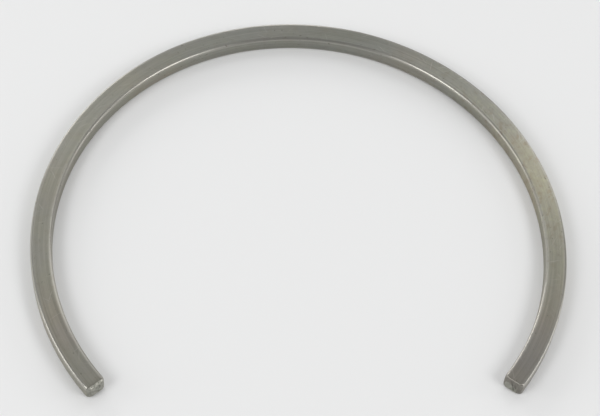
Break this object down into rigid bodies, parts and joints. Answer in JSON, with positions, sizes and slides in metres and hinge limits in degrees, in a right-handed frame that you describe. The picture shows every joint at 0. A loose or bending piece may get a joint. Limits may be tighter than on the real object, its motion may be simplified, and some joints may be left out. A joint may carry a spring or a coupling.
{
  "type": "locating ring",
  "caption": "Open C-shaped steel locating ring that fixes a bearing's outer ring endwise in its housing.",
  "frame": {"origin": "on the ring's axis, in the plane of the lower side face that it rests on", "axes": "+Z along the ring's axis, from the lower side face to the upper one; -Y points out through the opening; +X across the ring, level with its widest line"},
  "size_m": [0.15, 0.1221, 0.005],
  "materials": {
    "drawn_steel": "bare drawn steel, tumbled, faintly oiled"
  },
  "bodies": {
    "root": {"locating_ring": "drawn_steel"}
  },
  "joints": []
}
